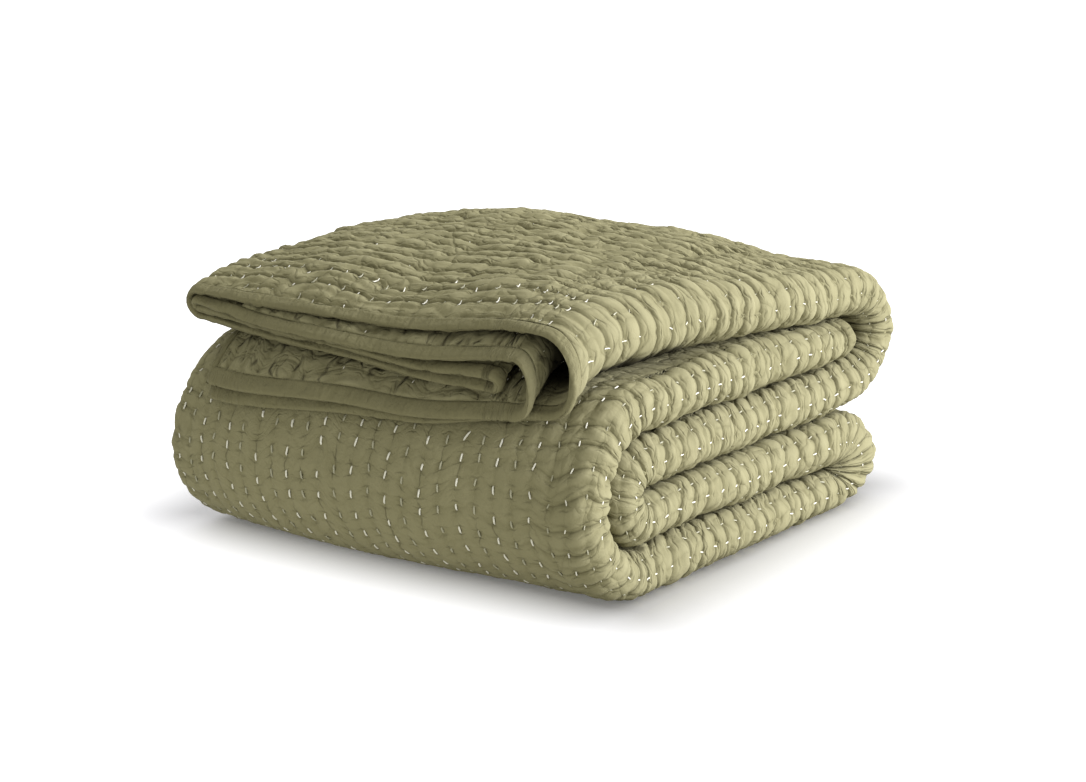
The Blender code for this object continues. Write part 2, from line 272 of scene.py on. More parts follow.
# the quilting: rows of stitches and the cloth puffed up between them
quilt = {
    "rowGap": 0.0150,  # between rows, by turns ecru and green thread
    "stitchPitch": 0.0185,  # along a row
    "ribHeight": 0.0042,  # crest over hollow, where the cloth is slack
    "ribBase": 0.0034,  # how far the hollows lie under the smooth skin
    "ribRound": 0.36,  # a power: less is rounder
    "ribWave": 0.05, "ribLean": 0.20, "crestLeast": 0.80, "crestVaries": 0.20,
    # the crease that parts a rib in two
    "split": 0.0018, "splitWidth": 0.11, "splitWander": 0.22,
    # puffs of a few rows' length
    "pillow": 0.0023, "pillowRows": 2.3, "pillowStretch": 0.98, "pillowTurn": 0.20,
    "pillowLean": 0.10, "pillowRound": 0.65, "pillowMiddle": 0.60,
    # the dent of each stitch
    "pull": 0.0013, "pullWidth": 0.0024, "pullLength": 0.0050,
    "groove": 0.00030, "grooveWidth": 0.0020,
    "crumple": 0.0006,
    "slanted": 1.3,  # its share of slanted creases, most on taut cloth
    # gathers at the bound front edge, and where its folds lie loose
    "pucker": 0.0012, "loosePucker": 0.0032, "fineGathers": 0.6, "looseGathers": 0.7,
    "hemFrom": 0.6, "hemOver": 1.6,  # of the bound edge, in stitches
    "hemFlat": 0.30, "looseFlat": 0.75,
    # a row's stitches out of step, in stitches
    "rowShift": 0.19, "wander": 0.18, "drift": 0.30, "wildTurn": 0.65, "wildLoose": 0.3,
    # way numbers of the front turn drawn tight, and where the loose folds end
    "turnBegins": 7.2, "turnEnds": 8.9, "looseEnds": 1.0, "looseBorder": 3.1,
}
rowShift = np.random.default_rng(11).uniform(-quilt["rowShift"], quilt["rowShift"], 400)

# how slack the cloth is by way number, on the strip's faces and at its folds
slackOnFaces = ((0, 0.9), (0.4, 1.0), (1, 1.07), (2, 1.07), (2.3, 1.0), (3, 0.9), (7.5, 0.45),
                (8.0, 0.42), (8.25, 0.24), (8.8, 0.26), (9.1, 0.6), (10, 0.8))
slackAtFolds = ((0, 0.86), (3.8, 0.86), (4.1, 0.8), (4.9, 0.75), (5.2, 0.8), (8, 0.9),
                (8.2, 0.8), (8.8, 0.8), (9, 0.86), (10, 0.86))
slackSpans = {
    "toFold": (8.76, 0.32),  # section numbers: where it begins, how far it takes
    "fromUnder": (8.0, 0.15),  # the outer layer, tauter than those under it
    "easier": 0.4,  # how much less taut those are
    "looseEnd": 3.2,  # the two inner folds at the front end here
    "underEnd": 2.0,
    "inside": 0.55,
}

# noises over the cloth: cells a row and a stitch, one way and the other, the
# seed, and where it starts
noiseTable = {
    "lean": (0.5, 0, 0, 0.6, 16, 0),
    "crest": (0.55, 0, 0, 1.0, 5, 0),
    "parted": (0.55, 0, 0, 0.7, 7, 7.0),
    "split": (0.9, 0, 0, 0.7, 8, 0),
    "crumple": (1.1, 0, 0, 2.3, 9, 3.0),
    "fineCrumple": (2.3, 0, 0, 4.1, 13, 0),
    "gathers": (1.7, 0.9, 0, 0.6, 15, 0),
    "fineGathers": (3.1, -1.2, 0, 1.3, 20, 0),
    "slanted": (0.8, 1.1, -0.5, 0.8, 19, 0),
    "wander": (0.75, 0, 0, 0.85, 4, 0),
    "drift": (0.17, 0, 0, 0.13, 3, 0),
}
noiseCells = 128

# lengths across and along the sheet, at its slack middle and at its folds
perSection, perWay = 100, 200  # table steps
middleWay, foldSections = 1.95, (8.5, 9.5, 10.5)
sTable = np.linspace(0.0, sectionEnd, int(sectionEnd) * perSection + 1)
vTable = np.linspace(0.0, wayEnd, int(wayEnd) * perWay + 1)


def stepsOf(s, v):
    # the lengths between points that follow each other on the cloth's middle
    return np.linalg.norm(np.diff(place(s, v, 0.0), axis=0), axis=-1)


acrossTable = np.concatenate([[0.0], np.cumsum(stepsOf(sTable, middleWay))])
alongSteps = np.max([stepsOf(c, vTable) for c in foldSections], axis=0)
alongTable = np.concatenate([[0.0], np.cumsum(alongSteps)])
# the front turn is longer or shorter from layer to layer
turnLength = alongTable[perWay]
turnStops = np.arange(0.5, sectionEnd)
turnShare = np.array([stepsOf(c, vTable[:perWay + 1]).sum() for c in turnStops]) / turnLength
print("sheet laid flat: %.2f m across" % acrossTable[-1])


def alongOf(s, v):
    # metres along the sheet, the front turn at its real length
    at = np.interp(v, vTable, alongTable)
    before = np.maximum(turnLength - at, 0.0)
    return at + before * (1.0 - np.interp(s, turnStops, turnShare))


def wayOf(s, along):
    # the way to a point so many metres along the sheet
    before = np.maximum(turnLength - along, 0.0)
    at = along + before * (1.0 - 1.0 / np.interp(s, turnStops, turnShare))
    return np.interp(at, alongTable, vTable)


def softNoise(x, y, seed):
    # random values on a lattice with eased steps between them, -1 to 1
    table = np.random.default_rng(seed).uniform(-1.0, 1.0, (noiseCells, noiseCells))
    i, j = np.floor(x).astype(int), np.floor(y).astype(int)
    f, g = ease(x - i), ease(y - j)
    i, j, iNext, jNext = (k % noiseCells for k in (i, j, i + 1, j + 1))
    low, high = (table[i, k] * (1 - f) + table[iNext, k] * f for k in (j, jNext))
    return low * (1 - g) + high * g


def clothNoise(name, row, n):
    # a noise of noiseTable at a row and a stitch
    perRow, perStitch, rowAlong, stitchAlong, seed, start = noiseTable[name]
    return softNoise(perRow * row + perStitch * n + start, rowAlong * row + stitchAlong * n, seed)


def ridges(noise, power):
    # sharp valleys between rounded ridges: the noise's size to a power, less half
    return np.abs(noise) ** power - 0.5


def pillows(x, y, seed):
    # rounded cells with sharp borders: how much farther the second nearest of
    # scattered centres is than the nearest
    scatter = np.random.default_rng(seed).uniform(-0.40, 0.40, (2, noiseCells, noiseCells))
    i, j = np.floor(x).astype(int), np.floor(y).astype(int)
    first, second = np.full(x.shape, np.inf), np.full(x.shape, np.inf)
    for a in (i - 1, i, i + 1):
        for b in (j - 1, j, j + 1):
            dx, dy = scatter[:, a % noiseCells, b % noiseCells]
            far = np.hypot(a + 0.5 + dx - x, b + 0.5 + dy - y)
            second = np.minimum(second, np.maximum(first, far))
            first = np.minimum(first, far)
    return np.minimum(second - first, 1.0)


def rowOf(s):
    # metres across the sheet over the gap between rows
    return np.interp(s, sTable, acrossTable) / quilt["rowGap"]


def nOf(s, v):
    # metres along the sheet over the pitch of the stitches
    return alongOf(s, v) / quilt["stitchPitch"]


def stitchShift(row, n):
    # how far a row's stitches are out of step, eased from row to row, and how
    # the creases wander between the rows, more at the two front turns
    i = np.floor(row).astype(int)
    f = ease(row - i)
    shift = rowShift[i % len(rowShift)] * (1 - f) + rowShift[(i + 1) % len(rowShift)] * f
    begins, ends, looseEnds = (nOf(1.0, quilt[key]) for key in ("turnBegins", "turnEnds", "looseEnds"))
    front = ease((n - begins) / 2.0) * (1.0 - ease((n - ends) / 3.0))
    fromBorder = row - rowOf(quilt["looseBorder"])
    loose = (1.0 - ease((n - looseEnds) / 3.0)) * (1.0 - ease(fromBorder / 3.0))
    wild = 1.0 + quilt["wildTurn"] * front + quilt["wildLoose"] * loose
    wander = quilt["wander"] * clothNoise("wander", row, n)
    return wild * (shift + wander) + quilt["drift"] * clothNoise("drift", row, n)


def slackness(s, v):
    # 1 where the cloth lies loose and puffs up, less where it is drawn tight
    fromUnder, toFold = (ease((s - begin) / reach)
                         for begin, reach in (slackSpans["fromUnder"], slackSpans["toFold"]))
    flat = np.interp(v, *zip(*slackOnFaces))
    flat = flat + slackSpans["easier"] * (1.0 - flat) * (1.0 - fromUnder)
    return flat + (np.interp(v, *zip(*slackAtFolds)) - flat) * toFold


def slackOf(s, v, side):
    # the same on either face: the two inner folds at the front lie loose
    if side < 0:
        inside = slackSpans["inside"]
        return inside + (1.0 - inside) * (v < 1.0) * (s < slackSpans["looseEnd"])
    return np.maximum(slackness(s, v), 1.0 * (s < slackSpans["underEnd"]))


def ribPlace(s, v):
    # rows across, stitches along, and these bent to have a crease on each whole
    row, n = rowOf(s), nOf(s, v)
    return row, n, n + stitchShift(row, n)


def nearHem(s, n):
    # 1 along the bound front edge, 0 from the third stitch on
    return 1.0 - ease((n - nOf(s, 0.0) - quilt["hemFrom"]) / quilt["hemOver"])


def looseInside(s, v):
    # 1 in the two inner folds at the front
    return (s < slackSpans["looseEnd"]) * (1.0 - ease((v - 0.7) / 0.3))


def ribs(row, n, u):
    # height of the puffed ribs: a rounded wave from stitch to stitch, its
    # crest uneven, parted in two here and there
    lean = quilt["ribLean"] * clothNoise("lean", row, n)
    wave = u + quilt["ribWave"] * np.sin(2 * np.pi * u) + lean * np.sin(np.pi * u) ** 2
    rib = (np.sin(np.pi * wave) ** 2 + 0.004) ** quilt["ribRound"]
    crest = quilt["crestLeast"] + quilt["crestVaries"] * clothNoise("crest", row, n)
    parted = ease(2.4 * clothNoise("parted", row, n) + 0.35)
    middle = u - np.floor(u) - 0.5 + quilt["splitWander"] * clothNoise("split", row, n)
    split = parted * np.exp(-(middle / quilt["splitWidth"]) ** 2)
    return quilt["ribHeight"] * rib * crest - quilt["ribBase"] - quilt["split"] * split


def stitchPulls(row, u):
    # a round dent at each stitch and a shallow groove on each row
    fromRow = (row - np.round(row)) * quilt["rowGap"]
    fromStitch = (u - np.round(u)) * quilt["stitchPitch"]
    across, along = fromRow / quilt["pullWidth"], fromStitch / quilt["pullLength"]
    groove = np.exp(-(fromRow / quilt["grooveWidth"]) ** 2)
    return quilt["pull"] * np.exp(-across ** 2 - along ** 2) + quilt["groove"] * groove


def relief(s, v, slack):
    # height of a face: ribs and pillows where it is slack, less the stitches'
    # dents, with crumples and with gathers along the bound front edge
    row, n, u = ribPlace(s, v)
    loose = looseInside(s, v)
    pillow = pillows(row / quilt["pillowRows"] + quilt["pillowTurn"] * u,
                     quilt["pillowStretch"] * u - quilt["pillowLean"] * row, 6)
    pillow = pillow ** quilt["pillowRound"] - quilt["pillowMiddle"]
    crumple = np.abs(clothNoise("crumple", row, n)) + 0.5 * np.abs(clothNoise("fineCrumple", row, n)) - 0.5
    slanted = quilt["slanted"] * (1.2 - slack) * ridges(clothNoise("slanted", row, n), 0.7)
    high = slack ** 1.5 * ribs(row, n, u) + slack * quilt["pillow"] * pillow
    high = high - stitchPulls(row, u) + quilt["crumple"] * (crumple + slanted)
    gathers = ridges(clothNoise("gathers", row, n), 0.6)
    gathers = gathers + quilt["fineGathers"] * ridges(clothNoise("fineGathers", row, n), 0.7) * loose
    near = np.maximum(nearHem(s, n), quilt["looseGathers"] * loose) * slack
    depth = quilt["pucker"] + (quilt["loosePucker"] - quilt["pucker"]) * loose
    flatter = (1.0 - quilt["hemFlat"] * near) * (1.0 - quilt["looseFlat"] * loose)
    return high * flatter + depth * near * gathers


def newObject(name, data):
    # an object with this data, in the scene
    obj = bpy.data.objects.new(name, data)
    bpy.context.collection.objects.link(obj)
    return obj


def makePiece(name, points, faces, maps, values=None):
    # a mesh object whose faces point outwards, with its named maps and values
    mesh = bpy.data.meshes.new(name)
    mesh.from_pydata(points.reshape(-1, 3).tolist(), [], faces)
    shape = bmesh.new()
    shape.from_mesh(mesh)
    bmesh.ops.recalc_face_normals(shape, faces=shape.faces)
    if shape.calc_volume(signed=True) < 0.0:
        bmesh.ops.reverse_faces(shape, faces=shape.faces)
    shape.to_mesh(mesh)
    shape.free()
    corner = np.empty(len(mesh.loops), dtype=np.int32)
    mesh.loops.foreach_get("vertex_index", corner)
    for label, at in maps.items():
        at = at.reshape(-1, 2).astype(np.float32)
        mesh.uv_layers.new(name=label).data.foreach_set("uv", at[corner].ravel())
    for label, share in (values or {}).items():
        share = np.asarray(share, dtype=np.float32)
        mesh.attributes.new(label, "FLOAT", "POINT").data.foreach_set("value", share)
    mesh.shade_smooth()
    return newObject(name, mesh)


def flatPlace(s, v):
    # where a point lies on the sheet laid flat, in metres
    s, v = np.broadcast_arrays(s, v)
    return np.stack([np.interp(s, sTable, acrossTable), alongOf(s, v)], axis=-1)


grid = {
    # cells and fine steps in each cell, section by section and way by way
    "sections": ((8, 10), (4, 3), (8, 10), (4, 2), (8, 10), (4, 3), (8, 10), (4, 2), (8, 14),
                 (4, 5), (8, 10)),
    "ways": ((2, 16), (6, 20), (8, 8), (6, 20), (6, 9), (6, 18), (6, 9), (6, 18), (9, 13), (6, 20)),
    "inset": 0.0108,  # of the cloth's edge, under the binding
    "rimSteps": 3.0, "rimSunk": 0.0009,
    "insideMap": 5.0,  # metres that part the inner face's map from the outer's
    # masks: how deep counts as a hollow for the painted shade, and less so where it is loose
    "hollowAt": 0.35, "hollowLess": 0.2,
    "hollowDepth": 0.0045, "hollowDepthLess": 0.0020,
    "slackSlope": 1.35, "slackLess": 0.5, "slackHem": 0.6,
}
# what shows: section from and to, way from and to
seenOutside = ((8, 9, 0, 3), (8, 9, 6, 7), (8, 9, 8, 9), (9, 10, 0, 10), (7, 8, 0, 10),
               (0, 2, 0, 1), (5, 6, 0, 1))
seenInside = ((1, 3, 0, 1), (8, 10, 0, 1))
clothSides = ((1.0, seenOutside), (-1.0, seenInside))


def within(s, v, seen):
    # which places lie in one of the shown patches
    return sum(((s > s0) & (s < s1)) & ((v > v0) & (v < v1)) for s0, s1, v0, v1 in seen) > 0


def rimInsets(inset):
    # an inset in metres as section numbers at the sides, and as way numbers
    # at the front end and at the hidden end
    firstStep = fold["stations"][0] * width - fold["hemInset"] * strip
    frontTurn = 2.5 * strip * math.radians(40)
    return inset / firstStep / 4, inset / frontTurn, inset / (fold["hiddenEnd"] * strip)


def clothStops():
    # coarse section and way numbers, and the fine steps in each cell
    stops, steps = [], []
    for key in ("sections", "ways"):
        cells, fine = zip(*grid[key])
        coarse = [i + c / count for i, count in enumerate(cells) for c in range(count)]
        stops.append(np.array(coarse + [float(len(cells))]))
        steps.append(np.repeat(fine, cells))
    side, front, end = rimInsets(grid["inset"])
    for each, first, last in zip(stops, (side, front), (side, end)):
        each[[0, -1]] += first, -last
    return stops + steps


def subdivided(stops, steps):
    # stops with equal fine steps between them
    fine = [np.linspace(a, b, n, endpoint=False) for a, b, n in zip(stops[:-1], stops[1:], steps)]
    return np.concatenate(fine + [stops[-1:]])


def clothSide(s, v, sSteps, vSteps, seen, first, rim):
    # one face of the cloth: fine quads where it shows, a polygon a cell where not
    middleS, middleV = (0.5 * (stops[:-1] + stops[1:]) for stops in (s, v))
    shown = within(middleS[:, None], middleV[None, :], seen)
    cs, cv = (np.concatenate([[0], np.cumsum(steps)]) for steps in (sSteps, vSteps))
    used = np.zeros((cs[-1] + 1, cv[-1] + 1), dtype=bool)
    used[np.ix_(cs, cv)] = True
    for i, j in zip(*np.nonzero(shown)):
        used[cs[i]:cs[i + 1] + 1, cv[j]:cv[j + 1] + 1] = True
    for edge in rim:
        used[edge] = True
    number = np.cumsum(used.ravel()).reshape(used.shape) - 1 + first
    i, j = np.nonzero(np.repeat(np.repeat(shown, sSteps, axis=0), vSteps, axis=1))
    quads = np.stack([number[i, j], number[i + 1, j], number[i + 1, j + 1], number[i, j + 1]], axis=-1)
    polygons = []
    for i, j in zip(*np.nonzero(~shown)):
        a, b, c, d = cs[i], cs[i + 1], cv[j], cv[j + 1]
        loop = [(number[a:b, c], used[a:b, c]), (number[b, c:d], used[b, c:d]),
                (number[b:a:-1, d], used[b:a:-1, d]), (number[a, d:c:-1], used[a, d:c:-1])]
        polygons.append(tuple(np.concatenate([numbers[keep] for numbers, keep in loop]).tolist()))
    return used, number, quads.tolist() + polygons


def clothFace(side):
    # one face of the cloth over the fine grid: half the cloth's thickness and
    # the relief off its middle, thinned to the rim
    s, v, sSteps, vSteps = clothStops()
    fineS, fineV = subdivided(s, sSteps), subdivided(v, vSteps)
    ss, vv = np.meshgrid(fineS, fineV, indexing="ij")
    i, j = np.indices(ss.shape)
    rim = grid["rimSteps"]
    fromRim = np.minimum(np.minimum(i, len(fineS) - 1 - i), rim * np.minimum(j, len(fineV) - 1 - j))
    edge = ease(fromRim / rim)
    slack = slackOf(ss, vv, side)
    high = relief(ss, vv, slack) * edge - grid["rimSunk"] * (1.0 - edge)
    at = place(ss, vv, side * (halfCloth + high))
    at[..., 2] = np.maximum(at[..., 2], 0.0)
    return {"s": fineS, "v": fineV, "slack": slack, "edge": edge, "high": high, "at": at}


def onFace(face, s, v):
    # places on a face of the cloth, straight between its grid points
    cell, part = [], []
    for stops, here in ((face["s"], s), (face["v"], v)):
        i = np.clip(np.searchsorted(stops, here) - 1, 0, len(stops) - 2)
        cell.append(i)
        part.append(((here - stops[i]) / (stops[i + 1] - stops[i]))[..., None])
    (i, j), (f, g), at = cell, part, face["at"]
    near, far = (at[i, k] * (1 - f) + at[i + 1, k] * f for k in (j, j + 1))
    return near * (1 - g) + far * g


# painted shade inside the folds: how its mask is cast from the cloth and where it fades in
enclosed = {
    "rays": 14, "reach": 0.06, "lift": 0.0015,
    "least": 0.60, "most": 0.98,  # shares of the rays, from open to closed
    "begin": 0.8, "fade": 1.3,  # stitches from the bound edge
    "wayEnd": 1.25,
}


def foldShadeMask(points, faces, chosen):
    # a mask for painted shade inside the folds: 0 in the open, 1 in the closed hollows
    # between folds, the eased share of short rays from each chosen point that meet cloth
    tree = BVHTree.FromPolygons(points.tolist(), faces)
    quads = np.array([face for face in faces if len(face) == 4])
    a, b, c, d = (points[quads[:, corner]] for corner in range(4))
    normals = np.zeros_like(points)
    np.add.at(normals, quads, np.cross(c - a, d - b)[:, None])
    turns = np.random.default_rng(5).normal(0.0, 1.0, (enclosed["rays"], 3))
    turns = [Vector(turn) for turn in turns / np.linalg.norm(turns, axis=-1, keepdims=True)]
    share = np.zeros(len(points))
    for i in np.nonzero(chosen)[0]:
        up = Vector(normals[i]).normalized()
        start = Vector(points[i]) + up * enclosed["lift"]
        met = sum(tree.ray_cast(start, up + turn, enclosed["reach"])[0] is not None for turn in turns)
        share[i] = met / enclosed["rays"]
    return ease((share - enclosed["least"]) / (enclosed["most"] - enclosed["least"]))


def clothValues(face, side, used):
    # places, maps and masks of a face's used grid points
    i, j = np.nonzero(used)
    s, v = face["s"][i], face["v"][j]
    slack, edge, high, at = (face[key][i, j] for key in ("slack", "edge", "high", "at"))
    row, n, u = ribPlace(s, v)
    loose = looseInside(s, v)
    hollowAt = grid["hollowAt"] - grid["hollowLess"] * loose
    depth = grid["hollowDepth"] - grid["hollowDepthLess"] * loose
    less = (1.0 - grid["slackLess"] * loose) * edge * (1.0 - grid["slackHem"] * nearHem(s, n))
    return {
        "at": at, "way": v, "fromHem": n - nOf(s, 0.0),
        "cloth": flatPlace(s, v) + (0.0 if side > 0 else grid["insideMap"]),
        "quilting": np.stack([row, u], axis=-1),
        # painted shade mask: larger where the relief lies deeper in a hollow
        "hollow": np.clip(hollowAt - high / depth, 0.0, 1.0),
        "slack": (1.0 + grid["slackSlope"] * (slack - 1.0)) * less,
        # gathered: where the loose folds gather, for their bump and for their painted crease shade
        "gathered": edge * loose,
    }


def quiltCloth(clothFaces):
    # the two faces of the cloth, joined round its rim
    s, v, sSteps, vSteps = clothStops()
    rim = np.s_[:, 0], np.s_[-1, :], np.s_[::-1, -1], np.s_[0, ::-1]
    faces, numbers, parts, first = [], [], [], 0
    for side, seen in clothSides:
        used, number, sideFaces = clothSide(s, v, sSteps, vSteps, seen, first, rim)
        faces += sideFaces
        numbers.append(number)
        parts.append(clothValues(clothFaces[side], side, used))
        first += len(parts[-1]["at"])
    for edge in rim:
        upper, lower = numbers[0][edge], numbers[1][edge]
        faces += np.stack([upper[1:], upper[:-1], lower[:-1], lower[1:]], axis=-1).tolist()
    whole = {key: np.concatenate([part[key] for part in parts]) for key in parts[0]}
    # painted shade inside the folds, fading in behind the bound edge
    inside = ease((whole["fromHem"] - enclosed["begin"]) / enclosed["fade"])
    whole["enclosed"] = foldShadeMask(whole["at"], faces, whole["way"] < enclosed["wayEnd"]) * inside
    print("closed hollows: up to %.2f" % whole["enclosed"].max())
    maps, values = ("cloth", "quilting"), ("hollow", "slack", "gathered", "enclosed")
    obj = makePiece("quilted_cloth", whole["at"], faces,
                    {key: whole[key] for key in maps}, {key: whole[key] for key in values})
    print("quilted cloth:", len(obj.data.polygons), "faces")
    return obj


band = {
    "width": 0.0105, "thick": 0.0058,
    "step": 0.0032,  # between rings along the edge
    "pucker": 0.0011, "crimp": 0.0014,
    # how many a ring, how they turn outwards, and how the puckers grow
    "puckers": 0.34, "puckersTurn": 0.8, "longPuckers": 0.11, "longTurn": 3.0, "crimps": 0.27,
    "atSeam": 0.3, "grow": 0.8, "longShare": 0.7,
    "mapOffset": 0.003,
    # share of the way out and of the half thickness, over the rounded edge
    "outline": ((-0.07, 0.40), (0.0, 0.66), (0.07, 0.86), (0.16, 0.98), (0.36, 1.0),
                (0.60, 0.98), (0.80, 0.86), (0.93, 0.60), (1.0, 0.22)),
}


def edgeWaves(ring, out):
    # how far the band bulges, in metres: puckers that grow outwards, and crimps
    pucker = softNoise(ring * band["puckers"], 2.0 + band["puckersTurn"] * out, 21)
    pucker = pucker * (band["atSeam"] + band["grow"] * out)
    long = softNoise(ring * band["longPuckers"], 5.0 + band["longTurn"] * out, 22)
    pucker = pucker + band["longShare"] * long
    crimp = out * ridges(softNoise(ring * band["crimps"], 3.0, 24), 0.7)
    return band["pucker"] * pucker + band["crimp"] * crimp


def bindingStrip():
    # a rounded band carried round the four sides of the cloth
    side, front, end = rimInsets(band["width"])
    even = []
    for lengths, numbers in ((acrossTable, sTable), (alongTable, vTable)):
        count = int(lengths[-1] / band["step"]) + 1
        even.append(np.interp(np.linspace(0, lengths[-1], count), lengths, numbers))
    s, v = even
    flatS = np.concatenate([s, np.full(len(v) - 2, sectionEnd), s[::-1], np.zeros(len(v) - 2)])
    flatV = np.concatenate([np.zeros(len(s)), v[1:-1], np.full(len(s), wayEnd), v[-2:0:-1]])
    half = 0.5 * band["thick"]
    outline = band["outline"]
    ring = np.arange(len(flatS))
    rings, maps = [], []
    for out, t in outline + tuple((out, -t) for out, t in reversed(outline)):
        inward = 1.0 - out
        s = np.clip(flatS, side * inward, sectionEnd - side * inward)
        v = np.clip(flatV, front * inward, wayEnd - end * inward)
        lift = abs(t) * half + edgeWaves(ring, out) * min(1.0, 3.0 * abs(t))
        at = place(s, v, np.sign(t) * lift)
        at[:, 2] = np.maximum(at[:, 2], 0.0)
        rings.append(at)
        maps.append(flatPlace(s, v) + band["mapOffset"] * np.sign(t))
    points = np.stack(rings, axis=1)
    index = np.arange(points.shape[0] * points.shape[1]).reshape(points.shape[:2])
    ahead = np.roll(index, -1, axis=0)
    faces = np.stack([index, ahead, np.roll(ahead, -1, axis=1), np.roll(index, -1, axis=1)], axis=-1)
    obj = makePiece("bound_edge", points, faces.reshape(-1, 4).tolist(), {"cloth": np.stack(maps, axis=1)})
    print("bound edge:", len(obj.data.polygons), "faces")
    return obj


stitch = {
    "length": 0.0078, "radius": 0.00066, "sides": 5, "bends": 5,
    # over the cloth's surface, from end to end
    "arch": (-0.0010, 0.00025, 0.00042, 0.00025, -0.0010),
    "taper": (0.55, 1.0, 1.08, 1.0, 0.55),
    "tight": 0.35,  # how far it spans the hollow instead of lying in it
    "sunk": 0.0008, "sunkTop": 0.0007,  # at most, on slack cloth and at the top
    "steep": 0.0024,  # a rise over which it is half as long
    "tautLength": 1.15, "slackShorter": 0.45, "tautRadius": 1.20, "slackThinner": 0.46,
    "topLess": 0.22,
    "uneven": 0.05,  # along the row, in stitches
    "sizes": (0.82, 1.15), "lean": 0.0006,
    "patch": (0.2, 10.8, 0.19, 9.9),  # section and way numbers of the stitches
    "across": 0.003,  # round the thread on its map
}


def stitchPlaces(parity):
    # where every other row's stitches lie, their sizes, leans and draws
    rows = np.arange(2 - parity, int(acrossTable[-1] / quilt["rowGap"]), 2)
    counts = int(alongTable[-1] / quilt["stitchPitch"])
    row, n = (each.ravel() for each in np.meshgrid(rows, np.arange(1.0, counts), indexing="ij"))
    jitter = np.random.default_rng(31 + parity)
    at = n + jitter.normal(0.0, stitch["uneven"], n.shape)
    for _ in range(4):  # the cloth's own wave is undone step by step
        u = at + stitchShift(row, at)
        at = at - (u - np.round(u))
    s = np.interp(row * quilt["rowGap"], acrossTable, sTable)
    v = wayOf(s, at * quilt["stitchPitch"])
    size = jitter.uniform(*stitch["sizes"], n.shape)
    lean = jitter.normal(0.0, stitch["lean"], n.shape)
    draw = jitter.uniform(0.0, 1.0, n.shape)
    return s, v, size, lean, draw


def unit(vectors):
    # each vector over its length
    return vectors / (np.linalg.norm(vectors, axis=-1, keepdims=True) + 1e-12)


def threadLines(face, side, places):
    # the middle line of each thread, its up and its radius: on the cloth's
    # face, raised part of the way to the straight line between its ends, arched
    s, v, size, lean, draw = places
    share = np.linspace(-0.5, 0.5, stitch["bends"])
    slack = slackOf(s, v, side)
    top = 1.0 - ease(v - 2.0)
    flat = flatPlace(s, v)
    less = 1.0 - stitch["topLess"] * top
    length = stitch["tautLength"] - stitch["slackShorter"] * slack
    length = stitch["length"] * size * length * less
    low, high = (relief(s, wayOf(s, flat[:, 1] + end * length), slack) for end in (-0.5, 0.5))
    length = length / (1.0 + ((high - low) / stitch["steep"]) ** 2)
    ss = np.interp(flat[:, 0, None] + 2.0 * share * lean[:, None], acrossTable, sTable)
    vv = wayOf(s[:, None], flat[:, 1, None] + share * length[:, None])
    under = onFace(face, ss, vv)
    up = unit(place(ss, vv, side * (halfCloth + 0.001)) - place(ss, vv, side * halfCloth))
    straight = under[:, :1] * (0.5 - share[:, None]) + under[:, -1:] * (0.5 + share[:, None])
    span = np.maximum(((straight - under) * up).sum(axis=-1), 0.0)
    sunk = draw * (stitch["sunk"] * (slack > 0.5) + stitch["sunkTop"] * top)
    level = stitch["tight"] * span + np.array(stitch["arch"]) - sunk[:, None]
    radius = stitch["radius"] * (stitch["tautRadius"] - stitch["slackThinner"] * slack) * less
    return under + up * level[..., None], up, radius


def stitchRow(name, parity, clothFaces):
    # short bent threads in every other row: a tube round each middle line
    bends, sides = stitch["bends"], stitch["sides"]
    taper = np.array(stitch["taper"])[:, None, None]
    angle = 2 * np.pi * np.arange(sides)[:, None] / sides
    points = []
    for side, seen in clothSides:
        places = stitchPlaces(parity)
        keep = within(*places[:2], [stitch["patch"]]) & within(*places[:2], seen)
        centre, up, radius = threadLines(clothFaces[side], side, [each[keep] for each in places])
        across = unit(np.cross(np.gradient(centre, axis=1), up))
        turn = across[:, :, None] * np.cos(angle) + up[:, :, None] * np.sin(angle)
        points.append(centre[:, :, None] + radius[:, None, None, None] * taper * turn)
    points = np.concatenate(points)
    count = len(points)
    along = np.linspace(-0.5, 0.5, bends)[:, None] * stitch["length"]
    around = np.arange(sides) / sides * stitch["across"]
    index = np.arange(count * bends * sides).reshape(count, bends, sides)
    maps = np.stack(np.broadcast_arrays(around, along, index)[:2], axis=-1)
    onward = np.roll(index, -1, axis=2)
    tubes = np.stack([index[:, :-1], onward[:, :-1], onward[:, 1:], index[:, 1:]], axis=-1)
    ends = np.stack([index[:, 0, ::-1], index[:, -1]], axis=1)
    faces = tubes.reshape(-1, 4).tolist() + ends.reshape(-1, sides).tolist()
    obj = makePiece(name, points, faces, {"cloth": maps})
    print(name + ":", count, "stitches")
    return obj


def setInputs(node, inputs):
    # each input is a value, or an output that is linked to it
    for key, value in inputs.items():
        if isinstance(value, bpy.types.NodeSocket):
            node.id_data.links.new(value, node.inputs[key])
        else:
            node.inputs[key].default_value = value


def addNode(nodes, kind, inputs, **settings):
    # a shader node with its settings, then its inputs
    node = nodes.new("ShaderNode" + kind)
    for key, value in settings.items():
        setattr(node, key, value)
    setInputs(node, inputs)
    return node


def maths(nodes, operation, *values):
    # the operation on its numbers, in their order
    return addNode(nodes, "Math", dict(enumerate(values)), operation=operation).outputs[0]


def vectors(nodes, operation, *values):
    # the same on vectors
    node = addNode(nodes, "VectorMath", dict(enumerate(values)), operation=operation)
    return node.outputs["Value" if operation == "LENGTH" else "Vector"]


def mapped(nodes, at, scale=(1.0, 1.0, 1.0), turn=0.0, shift=(0.0, 0.0, 0.0)):
    # a place stretched, then turned about Z, then shifted
    inputs = {"Vector": at, "Scale": scale, "Rotation": (0.0, 0.0, turn), "Location": shift}
    return addNode(nodes, "Mapping", inputs).outputs["Vector"]


